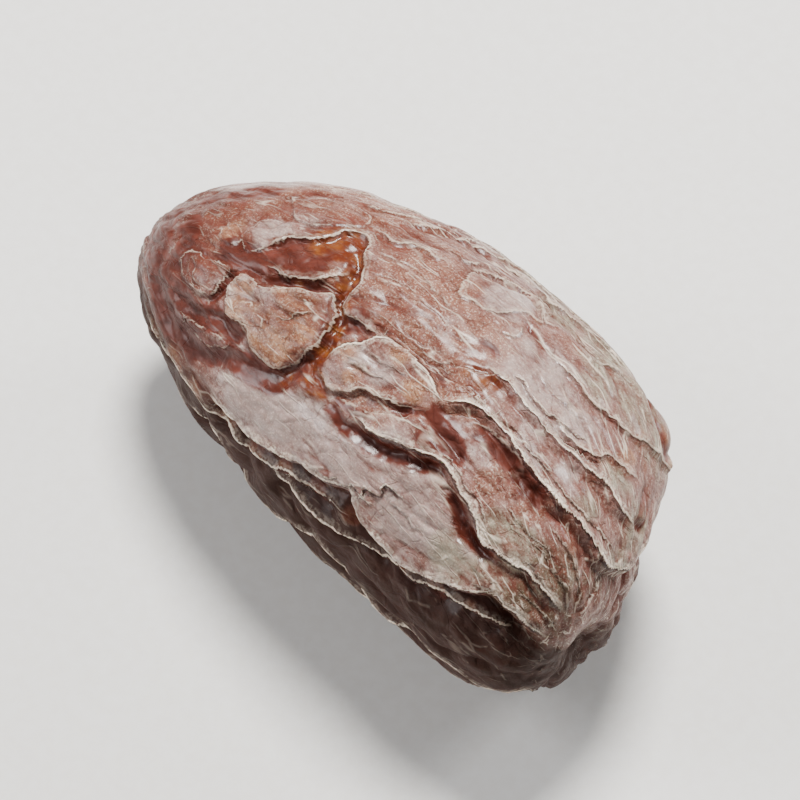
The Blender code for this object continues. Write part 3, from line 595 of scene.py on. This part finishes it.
def fold_height(fold, gap, strength):
    gap = gap / MM * fold.high
    high = fold.rim * np.exp(-np.clip(gap, 0, None) / fold.shelf)
    past = np.clip(-gap - fold.lip, 0, None)
    low = fold.rim - (fold.rim + fold.drop) * smooth(-gap / fold.lip)
    low = low * np.exp(-past / fold.gully)
    return np.where(gap > 0, high, low) * strength * MM


def gully_share(fold, gap, strength):
    """How far the flesh shows through below the fold, from half way down its lip."""
    gap = -gap / MM * fold.high
    out = np.clip(gap - fold.lip, 0, None)
    share = smooth(gap / fold.lip) * np.exp(-out / (FLESH_REACH * fold.gully))
    return share * strength * min(1, FLESH_LEAST + fold.drop)


def channel_share(channel, gap, strength):
    return np.exp(-((np.abs(gap) / MM / channel.width) ** CHANNEL_POWER)) * np.sqrt(strength)


def millimetres_from(place, points):
    middle = bare_point(np.array(place[0] * MM), np.array(math.radians(place[1])))
    return np.linalg.norm(points - middle, axis=1) / MM


def swelling_height(swelling, points):
    apart = millimetres_from(swelling.place, points)
    return swelling.height * np.exp(-((apart / swelling.reach) ** 2)) * MM


def back_folds():
    draw = random.Random(BACK_SEED)
    folds = []
    for i in range(BACK_FOLDS):
        middle = BACK_FIRST + (BACK_LAST - BACK_FIRST) * i / (BACK_FOLDS - 1)
        start = draw.uniform(*BACK_STARTS)
        phase = draw.uniform(0, math.tau)
        waves = draw.uniform(*BACK_WAVES)
        places = []
        for share in np.linspace(0, 1, BACK_PLACES):
            sway = BACK_WAVER * math.sin(phase + waves * math.tau * share) * (1 - share**3)
            places.append((start + (BACK_END - start) * share, middle + sway))
        size = draw.uniform(*BACK_SIZES)
        folds.append(BACK_PROFILE._replace(
            route=places, high=draw.choice((LEFT, RIGHT)),
            rim=BACK_PROFILE.rim * size, drop=BACK_PROFILE.drop * size))
    return folds


def tube_places(x, turn):
    """Places on a tube that narrows less than the date does, so that what is drawn there gathers."""
    tube = HALF_ACROSS * np.clip(np.sqrt(fullness(x)), NARROWEST_TUBE, 1)
    return np.stack([x, -np.sin(turn) * tube, np.cos(turn) * tube], axis=-1)


def crinkle(x, turn):
    places = tube_places(x, turn) / (CRINKLE_ALONG, CRINKLE_ROUND, CRINKLE_ROUND)
    heights = np.empty(len(places))
    for i, place in enumerate(places.tolist()):
        place = Vector(place)
        bend = noise.noise_vector(place * CRINKLE_BEND_RATE)
        wave = noise.noise(place + CRINKLE_BEND * bend + CRINKLE_SEED)
        heights[i] = 1 - math.exp(-abs(wave) * CRINKLE_SHARPNESS)
    return heights


def calm(turn):
    degrees = (np.degrees(turn) + 180) % 360 - 180
    from_face = (np.abs(degrees - FACE_MIDDLE) - FACE_HALF) / FACE_EDGE
    return CALM_SHARE + (1 - CALM_SHARE) * smooth(from_face)


def gathered(points):
    scar = bare_point(np.array(STEM_REACH), np.array(0.0))
    apart = np.linalg.norm(points - scar, axis=1)
    return SCAR_SHARE + (1 - SCAR_SHARE) * smooth(apart / SCAR_CALM)


def patches(spots, points, seed):
    """How far into any of the patches each point is, with ragged edges."""
    rag = sum(size * noise_at(points / length, seed + i) for i, (size, length) in enumerate(RAGS))
    share = np.zeros(len(points))
    for place, reach in spots:
        inside = PATCH_EDGE - millimetres_from(place, points) / reach + rag
        share = np.maximum(share, smooth(inside / PATCH_BLEND))
    return share


def lined(marks, name, folds, points, turn, fade):
    """The height of the folds, whose crest lines and flesh are added to the marks."""
    height = np.zeros(len(points))
    nearest = np.full(len(points), EDGE_REACH)
    force = np.zeros(len(points))
    for fold in folds:
        gap, strength = beside(fold.route, points, fade)
        # Painted shade below the long plateau's rim
        if fold is FOLDS["long_plateau_rim"]:
            past = smooth((np.degrees(turn) - RIM_SHADE_FROM) / RIM_SHADE_BLEND)
            marks["under"] = smooth(-gap * fold.high / RIM_SHADE) * past
        height += fold_height(fold, gap, strength)
        flesh = GULLY_FLESH * gully_share(fold, gap, strength)
        marks["gully"] = np.maximum(marks["gully"], flesh)
        closer = (np.abs(gap) < np.abs(nearest)) & (strength > FAINTEST)
        nearest[closer] = gap[closer] * fold.high
        here = strength * min(1, CREST_LEAST + CREST_PER_RIM * fold.rim)
        here = here * smooth(2 - 2 * np.abs(gap) / EDGE_REACH)
        force[closer] = here[closer]
    marks[name + "_gap"] = nearest / MM
    marks[name + "_force"] = force
    return height


def fine_relief(tube):
    striae = noise_at(tube / STRIAE_SIZE, STRIAE_SEED)
    crumple = np.abs(noise_at(wandered(tube) / CRUMPLE_SIZE, CRUMPLE_SEED))
    return (STRIAE_HEIGHT * striae + CRUMPLE_HEIGHT * crumple - CRUMPLE_SINK) * MM


def fold_skin():
    """The folded skin: its points, squares, and a value at each point for every kind of mark."""
    ball, squares = cube_sphere()
    ball = ball + DRAWN_IN * np.array(SEEN_SIDE)
    ball /= np.linalg.norm(ball, axis=1, keepdims=True)
    x = np.where(ball[:, 0] > 0, STEM_REACH, APEX_REACH) * ball[:, 0]
    turn = np.arctan2(-ball[:, 1], ball[:, 2])
    bare = bare_point(x, turn)
    points = wandered(bare)
    wrinkles = crinkle(x, turn)
    height = CRINKLE_HEIGHT * (wrinkles - CRINKLE_SINK) * calm(turn)
    marks = {"gully": (1 - smooth(wrinkles / CREASE_WIDTH)) * calm(turn) * CREASE_FLESH}
    height += lined(marks, "edge", [*FOLDS.values(), *back_folds()], points, turn, FOLD_FADE)
    height += lined(marks, "fine", FINE_FOLDS.values(), points, turn, FINE_FADE)
    for channel in CHANNELS.values():
        gap, strength = beside(channel.route, points, FOLD_FADE)
        share = channel_share(channel, gap, strength)
        height -= channel.depth * MM * share
        marks["gully"] = np.maximum(marks["gully"], share)
    for band in BANDS:
        gap, strength = beside(band.route, points, FINE_FADE)
        worn = band.share * strength * smooth(BAND_EDGE - np.abs(gap) / MM / band.width)
        marks["gully"] = np.maximum(marks["gully"], worn)
    tube = tube_places(x, turn)
    height += fine_relief(tube)
    height = np.where(height > 0, HEIGHT_LIMIT * np.tanh(height / HEIGHT_LIMIT), height)
    height *= gathered(points)
    for swelling in SWELLINGS.values():
        height += swelling_height(swelling, points)
    floor = HALF_HEIGHT - FLAT_SAG
    height *= smooth((floor + bare[:, 2]) / FLOOR_CALM)
    skin = bare + bare_normal(x, turn) * height[:, None]
    skin[:, 2] = np.maximum(skin[:, 2] + floor, 0)
    for i, (name, spots) in enumerate(PATCHES.items()):
        marks[name] = patches(spots, points, PATCH_SEED + len(RAGS) * i)
    # Painted shade on the underside, starting higher towards the front, joined with the painted shade
    # below the rim
    to_front = -bare[:, 1] / HALF_ACROSS
    level = UNDER_LEVEL + UNDER_RISE * to_front
    below = smooth((level - bare[:, 2] / HALF_HEIGHT) / UNDER_BLEND)
    start = smooth((bare[:, 0] + RIM_SHADE_START) / RIM_SHADE_START_BLEND)
    marks["under"] = np.maximum(marks["under"] * start, below)
    return skin, squares, marks, tube / MM


def make_skin():
    skin, squares, marks, tube = fold_skin()
    low, high = skin.min(axis=0), skin.max(axis=0)
    cad_low, cad_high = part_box("date")
    skin[:, :2] += (np.array(cad_low + cad_high)[:2] - (low + high)[:2]) / 2
    mesh = bpy.data.meshes.new("date_skin")
    mesh.from_pydata(skin.tolist(), [], squares)
    for name, values in marks.items():
        mark = mesh.attributes.new(name, "FLOAT", "POINT")
        mark.data.foreach_set("value", values.astype(np.float32))
    mesh.attributes.new("tube", "FLOAT_VECTOR", "POINT").data.foreach_set(
        "vector", tube.astype(np.float32).ravel())
    mesh.shade_smooth()
    date = bpy.data.objects.new("date_skin", mesh)
    bpy.context.scene.collection.objects.link(date)
    return date


class Tree:
    """A node tree with short calls for adding nodes and joining them."""

    def __init__(self, tree):
        self.tree = tree

    def add(self, kind, **settings):
        node = self.tree.nodes.new(kind)
        for name, value in settings.items():
            setattr(node, name, value)
        return node

    def put(self, value, socket):
        if isinstance(value, bpy.types.NodeSocket):
            self.tree.links.new(value, socket)
        else:
            socket.default_value = value

    def mark(self, name, vector=False):
        node = self.add("ShaderNodeAttribute", attribute_name=name)
        return node.outputs["Vector" if vector else "Fac"]

    def maths(self, operation, a, b=0.0, clamp=False):
        node = self.add("ShaderNodeMath", operation=operation, use_clamp=clamp)
        self.put(a, node.inputs[0])
        self.put(b, node.inputs[1])
        return node.outputs[0]

    def times(self, a, b):
        return self.maths("MULTIPLY", a, b)

    def plus(self, a, b):
        return self.maths("ADD", a, b)

    def minus(self, a, b, clamp=False):
        return self.maths("SUBTRACT", a, b, clamp)

    def most(self, a, b):
        return self.maths("MAXIMUM", a, b)

    def between(self, value, low, high, to_low=0.0, to_high=1.0):
        node = self.add("ShaderNodeMapRange", interpolation_type="SMOOTHSTEP")
        self.put(value, node.inputs["Value"])
        for name, number in (("From Min", low), ("From Max", high),
                             ("To Min", to_low), ("To Max", to_high)):
            self.put(number, node.inputs[name])
        return node.outputs[0]

    def mix(self, share, a, b):
        node = self.add("ShaderNodeMix", data_type="RGBA")
        self.put(share, node.inputs["Factor"])
        self.put(a, node.inputs[6])
        self.put(b, node.inputs[7])
        return node.outputs[2]

    def scaled(self, vector, scale):
        node = self.add("ShaderNodeVectorMath", operation="MULTIPLY")
        self.put(vector, node.inputs[0])
        self.put(scale, node.inputs[1])
        return node.outputs[0]

    def noise(self, vector, scale=1.0, detail=2.0, roughness=0.5, distortion=0.0):
        node = self.add("ShaderNodeTexNoise")
        self.put(vector, node.inputs["Vector"])
        for name, number in (("Scale", scale), ("Detail", detail), ("Roughness", roughness),
                             ("Distortion", distortion)):
            node.inputs[name].default_value = number
        return node.outputs["Fac"]

    def stroke(self, gap, force, centre, width):
        """A line along a fold, 1 where the gap is the centre's and 0 past the width on either side."""
        apart = self.maths("ABSOLUTE", self.minus(gap, centre))
        return self.times(self.between(apart, 0.3 * width, width, 1.0, 0.0), force)

    def bent(self, vector, rate, reach):
        """The vector pushed about by a soft noise."""
        node = self.add("ShaderNodeTexNoise")
        self.put(vector, node.inputs["Vector"])
        node.inputs["Scale"].default_value = rate
        node.inputs["Detail"].default_value = 0
        push = self.add("ShaderNodeVectorMath", operation="MULTIPLY_ADD")
        self.put(node.outputs["Color"], push.inputs[0])
        self.put((2 * reach,) * 3, push.inputs[1])
        self.put(vector, push.inputs[2])
        return push.outputs[0]

    def billow(self, vector, detail):
        """Rounded swells, from 0 in the sharp creases between them to about 1."""
        wave = self.noise(vector, 1.0, detail, 0.5)
        return self.times(self.maths("ABSOLUTE", self.minus(wave, 0.5)), 5.0)

    def cracks(self, vector, scale, width):
        """1 on the borders between random cells, falling to 0 over the width."""
        node = self.add("ShaderNodeTexVoronoi", feature="DISTANCE_TO_EDGE")
        self.put(vector, node.inputs["Vector"])
        node.inputs["Scale"].default_value = scale
        return self.between(node.outputs["Distance"], 0.0, width, 1.0, 0.0)


def group(name, inputs, outputs):
    tree = bpy.data.node_groups.new(name, "ShaderNodeTree")
    for label, kind in inputs.items():
        tree.interface.new_socket(label, in_out="INPUT", socket_type=kind)
    for label, kind in outputs.items():
        tree.interface.new_socket(label, in_out="OUTPUT", socket_type=kind)
    tools = Tree(tree)
    return tools, tools.add("NodeGroupInput"), tools.add("NodeGroupOutput")


def skin_relief_group():
    """The height of the skin's finest texture: creases that run lengthwise, cracks and grain."""
    t, given, result = group(
        "skin_relief",
        {"Tube": "NodeSocketVector", "Place": "NodeSocketVector", "Bloom": "NodeSocketFloat"},
        {"Height": "NodeSocketFloat", "Cracks": "NodeSocketFloat",
         "Wrinkles": "NodeSocketFloat", "Pleats": "NodeSocketFloat"})
    tube, place, bloom = given.outputs["Tube"], given.outputs["Place"], given.outputs["Bloom"]
    bent = t.bent(place, 0.5, 0.8)
    long_folds = t.billow(t.scaled(bent, (0.22, 0.85, 0.85)), 1.0)
    crumple = t.billow(t.scaled(t.bent(place, 0.6, 0.5), (0.50, 0.66, 0.66)), 1.6)
    grain = t.noise(place, 5.6, 3.0, 0.65)
    where = t.between(t.noise(t.scaled(tube, (0.22, 0.32, 0.32)), 1.0, 2.0, 0.5), 0.44, 0.56)
    folds = t.plus(t.times(long_folds, where), t.times(crumple, t.minus(1.0, where)))
    cracks = t.cracks(t.scaled(bent, (0.34, 0.78, 0.78)), 1.0, 0.035)
    broken = t.between(t.noise(t.scaled(tube, (0.5, 0.7, 0.7)), 1.0, 2.0), 0.46, 0.60)
    cracks = t.times(cracks, broken)
    wrinkles = t.between(folds, 0.0, 0.30, 1.0, 0.0)
    strands = t.cracks(t.scaled(t.bent(tube, 0.5, 0.35), (0.11, 1.0, 1.0)), 1.0, 0.07)
    kept = t.between(t.noise(t.scaled(tube, (0.34, 1.1, 1.1)), 1.0, 3.0), 0.50, 0.60)
    pleats = t.times(strands, kept)
    height = t.plus(t.times(folds, 0.8), t.times(crumple, 0.4))
    height = t.plus(height, t.times(grain, t.between(bloom, 0, 1, 0.10, 0.42)))
    height = t.minus(height, t.times(cracks, 0.4))
    height = t.plus(height, t.times(pleats, 0.45))
    t.put(height, result.inputs["Height"])
    t.put(pleats, result.inputs["Pleats"])
    t.put(cracks, result.inputs["Cracks"])
    t.put(wrinkles, result.inputs["Wrinkles"])
    return t.tree


def bloom_group():
    """The dry bloom: how much of the skin it covers, thin in the gullies and in worn patches."""
    t, given, result = group(
        "bloom_cover",
        {"Tube": "NodeSocketVector", "Gully": "NodeSocketFloat", "Bare": "NodeSocketFloat"},
        {"Cover": "NodeSocketFloat"})
    tube = given.outputs["Tube"]
    clouds = t.noise(t.scaled(tube, (0.22, 0.42, 0.42)), 1.0, 4.0, 0.62)
    specks = t.noise(t.scaled(tube, (1.1, 2.6, 2.6)), 1.0, 3.0, 0.72)
    cover = t.minus(t.plus(clouds, t.times(specks, 0.9)), given.outputs["Gully"])
    cover = t.minus(cover, t.times(given.outputs["Bare"], 0.45))
    t.put(t.between(cover, 0.32, 1.02), result.inputs["Cover"])
    return t.tree


def covering_bloom(t, tube, gully, jelly):
    cover = t.add("ShaderNodeGroup", node_tree=bloom_group())
    t.put(tube, cover.inputs["Tube"])
    t.put(gully, cover.inputs["Gully"])
    worn = t.times(t.most(t.mark("brown"), t.mark("rust")), 0.35)
    t.put(t.most(jelly, worn), cover.inputs["Bare"])
    return cover.outputs["Cover"]


def flesh_tint(t, colour, blotch, jelly):
    """Red-brown flesh, and amber where it is clear like jelly."""
    flesh = t.mix(t.between(blotch, 0.38, 0.62), colour["red_brown"], colour["rosy"])
    honey = t.mix(t.between(blotch, 0.42, 0.66), colour["amber"], colour["honey"])
    return t.mix(t.times(jelly, 0.85), flesh, honey)


def skin_tint(t, colour, tube, place, lit, rough_share):
    """The dry skin: wide clouds of pink, the tinted patches, then mottling, specks and pits."""
    wide = t.noise(t.scaled(tube, (0.16, 0.26, 0.26)), 1.0, 4.0, 0.6, 0.4)
    skin = t.mix(t.between(wide, 0.52, 0.66), colour["pink"], colour["salmon"])
    skin = t.mix(t.between(wide, 0.46, 0.34), skin, colour["lilac"])
    for mark, tint, share in TINTS:
        skin = t.mix(t.times(t.mark(mark), share), skin, colour[tint])
    mottle = t.between(t.noise(t.scaled(tube, (0.55, 1.3, 1.3)), 1.0, 5.0, 0.7), 0.38, 0.60)
    mottle_share = t.times(rough_share, 0.6)
    mottle = t.times(t.minus(1.0, mottle), mottle_share)
    skin = t.mix(mottle, skin, colour["rosy"])
    dust = t.between(t.noise(place, 6.0, 3.0, 0.7), 0.50, 0.68)
    dust_share = t.times(lit, t.between(t.mark("salmon"), 0, 1, 0.24, 0.42))
    skin = t.mix(t.times(dust, dust_share), skin, colour["crest"])
    pits = t.between(t.noise(place, 4.2, 3.0, 0.7), 0.45, 0.34)
    pits = t.times(t.times(pits, rough_share), 0.55)
    return t.mix(pits, skin, colour["red_brown"])


def creased(t, look, colour, relief, bloom, marks, rough_share):
    """The look with its deep gullies, cracks and wrinkles, its painted shade below and its pale
    pleats.
    """
    gully, jelly, under = marks
    deep = t.maths("POWER", gully, 3.0)
    deep_share = t.minus(0.45, t.times(jelly, 0.35))
    look = t.mix(t.times(deep, deep_share), look, colour["maroon"])
    cracks = t.times(relief.outputs["Cracks"], rough_share)
    look = t.mix(t.times(cracks, 0.5), look, colour["red_brown"])
    wrinkles = t.times(relief.outputs["Wrinkles"], rough_share)
    wrinkles = t.times(wrinkles, t.between(bloom, 0, 1, 0.5, 0.36))
    look = t.mix(wrinkles, look, colour["red_brown"])
    # Painted shade on the underside and below the plateau's rim, held back on the tan patches of the
    # ridge there
    shaded = t.times(under, t.between(t.mark("tan"), 0, 1, 0.88, 0.3))
    look = t.mix(shaded, look, colour["shade"])
    outside = t.minus(1.0, gully, clamp=True)
    pleats = t.times(relief.outputs["Pleats"], outside)
    pleats = t.times(pleats, rough_share)
    pleats = t.times(pleats, t.between(under, 0, 1, 0.58, 0.1))
    darker = t.most(t.mark("rust"), t.mark("brown"))
    pleats = t.times(pleats, t.between(darker, 0, 1, 1.0, 0.3))
    return t.mix(pleats, look, colour["crest"])


def fold_lines(t, place, gully, lit):
    """The painted shadow line under each fold, the pleat on its crest, and all of the crest that is
    pale: partly pale skin, partly a painted highlight.
    """
    # The pale crest lines are partly the skin's pale crests and partly a painted highlight; this noise
    # breaks them along their length
    crest_wear_and_highlight = t.between(t.noise(place, 0.55, 4.0, 0.7), 0.36, 0.50, 0.40, 1.0)
    worn = t.between(t.noise(place, 1.1, 3.0, 0.6), 0.40, 0.54)
    specks = t.between(t.noise(place, 3.0, 3.0, 0.65), 0.42, 0.56, 0.2, 1.0)
    strand = t.noise(place, 1.3, 3.0, 0.55)
    waver = t.times(t.minus(strand, 0.5), 0.5)
    gap, force = t.plus(t.mark("edge_gap"), waver), t.mark("edge_force")
    fine_gap, fine_force = t.plus(t.mark("fine_gap"), waver), t.mark("fine_force")
    # Painted shadow: a thin dark line just below each fold's crest, for the undercut's shade
    fine_shadow = t.times(t.stroke(fine_gap, fine_force, -0.15, 0.12), 0.9)
    shadow = t.most(t.stroke(gap, force, -0.19, 0.13), fine_shadow)
    # Pleat and hem on each crest, broken by the worn noise: partly pale skin, partly a painted
    # highlight
    fine_pleat = t.times(t.stroke(fine_gap, fine_force, 0.02, 0.14), worn)
    pleat = t.most(t.stroke(gap, force, 0.04, 0.17), fine_pleat)
    hem = t.times(t.stroke(gap, force, 0.26, 0.30), t.times(specks, 0.48))
    outside = t.minus(1.0, t.times(gully, 0.8), clamp=True)
    hem = t.times(t.times(hem, outside), lit)
    return shadow, pleat, t.times(t.most(pleat, hem), crest_wear_and_highlight)


def skin_material():
    material = bpy.data.materials.new("date_skin")
    material.use_nodes = True
    t = Tree(material.node_tree)
    shader = material.node_tree.nodes["Principled BSDF"]
    colour = {name: linear(rgb) for name, rgb in SKIN_PALETTE.items()}
    tube = t.mark("tube", vector=True)
    place = t.scaled(t.add("ShaderNodeTexCoord").outputs["Object"], (1 / MM,) * 3)
    gully, jelly, under = t.mark("gully"), t.mark("jelly"), t.mark("under")
    # Less inside the painted shade, where the dust, the pale hems and the coat are dimmed
    lit = t.between(under, 0, 1, 1.0, 0.4)
    rough_share = t.between(t.mark("grey"), 0, 1, 1.0, 0.3)
    bloom = covering_bloom(t, tube, gully, jelly)
    relief = t.add("ShaderNodeGroup", node_tree=skin_relief_group())
    t.put(tube, relief.inputs["Tube"])
    t.put(place, relief.inputs["Place"])
    t.put(bloom, relief.inputs["Bloom"])

    blotch = t.noise(t.scaled(tube, (0.5, 0.8, 0.8)), 1.0, 4.0, 0.65)
    flesh = flesh_tint(t, colour, blotch, jelly)
    look = t.mix(bloom, flesh, skin_tint(t, colour, tube, place, lit, rough_share))
    look = creased(t, look, colour, relief, bloom, (gully, jelly, under), rough_share)
    shadow, pleat, pale = fold_lines(t, place, gully, lit)
    # Painted shadow along the low side of each fold
    look = t.mix(t.times(shadow, 0.8), look, colour["maroon"])
    # Pale crest lines: partly the skin's pale crests, partly a painted highlight
    look = t.mix(t.times(pale, 0.95), look, colour["crest"])
    t.put(look, shader.inputs["Base Color"])

    smoother = t.most(jelly, t.mark("grey"))
    rough = t.minus(0.46, t.times(smoother, 0.12))
    rough = t.minus(rough, t.times(pale, 0.12))
    rough = t.plus(rough, t.times(under, 0.2))
    t.put(rough, shader.inputs["Roughness"])
    gloss = t.plus(t.between(blotch, 0.35, 0.65, 0.10, 0.34), t.times(smoother, 0.34))
    t.put(t.times(gloss, lit), shader.inputs["Coat Weight"])
    height = t.plus(relief.outputs["Height"], t.times(pleat, 0.8))
    height = t.minus(height, t.times(shadow, 0.8))
    bump = t.add("ShaderNodeBump")
    bump.inputs["Strength"].default_value = 0.9
    bump.inputs["Distance"].default_value = 0.12 * MM
    t.put(height, bump.inputs["Height"])
    t.put(bump.outputs["Normal"], shader.inputs["Normal"])
    for name, number in SKIN_SETTINGS.items():
        shader.inputs[name].default_value = number
    return material


def floor_material():
    material = bpy.data.materials.new("pale_floor")
    material.use_nodes = True
    t = Tree(material.node_tree)
    shader = material.node_tree.nodes["Principled BSDF"]
    place = t.add("ShaderNodeTexCoord").outputs["Object"]
    grain = t.noise(place, 900.0, 3.0, 0.6)
    t.put(t.mix(t.between(grain, 0.3, 0.7), linear((236, 233, 228)), linear((240, 238, 234))),
          shader.inputs["Base Color"])
    shader.inputs["Roughness"].default_value = 0.6
    return material


def make_floor():
    mesh = bpy.data.meshes.new("floor")
    corners = [(-1, -1), (1, -1), (1, 1), (-1, 1)]
    mesh.from_pydata([(x * FLOOR_HALF, y * FLOOR_HALF, 0) for x, y in corners], [], [(0, 1, 2, 3)])
    mesh.materials.append(floor_material())
    floor = bpy.data.objects.new("floor", mesh)
    bpy.context.scene.collection.objects.link(floor)
    floor.location.z = -FLOOR_DROP


def view_axes():
    a, e = math.radians(CAMERA_AZIMUTH), math.radians(CAMERA_ELEVATION)
    back = Vector((math.sin(a) * math.cos(e), -math.cos(a) * math.cos(e), math.sin(e)))
    right = Vector((math.cos(a), math.sin(a), 0))
    return right, back.cross(right), back


def make_camera():
    _, _, back = view_axes()
    camera = bpy.data.objects.new("camera", bpy.data.cameras.new("camera"))
    camera.data.lens = CAMERA_LENS
    camera.data.clip_start = 0.02
    camera.location = AIM + back * CAMERA_DISTANCE
    camera.rotation_euler = back.to_track_quat("Z", "Y").to_euler()
    bpy.context.scene.collection.objects.link(camera)
    bpy.context.scene.camera = camera


def softbox(name, direction, size, power, colour):
    light = bpy.data.lights.new(name, "AREA")
    light.shape = "DISK"
    light.size = size
    light.energy = power
    light.color = colour
    box = bpy.data.objects.new(name, light)
    box.location = AIM + direction.normalized() * LIGHT_DISTANCE
    box.rotation_euler = direction.to_track_quat("Z", "Y").to_euler()
    bpy.context.scene.collection.objects.link(box)


def make_light():
    right, up, back = view_axes()
    for name, ((high, aside, near), size, power, colour) in LIGHTS.items():
        softbox(name, up * high + right * aside + back * near, size, power, colour)
    world = bpy.data.worlds.new("studio")
    world.use_nodes = True
    background = world.node_tree.nodes["Background"]
    background.inputs["Color"].default_value = WORLD_COLOUR
    background.inputs["Strength"].default_value = WORLD_STRENGTH
    bpy.context.scene.world = world


make_camera()
make_light()
make_floor()
noise.seed_set(NOISE_SEED)
date = make_skin()
date.data.materials.append(skin_material())
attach(date, "root")
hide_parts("date")
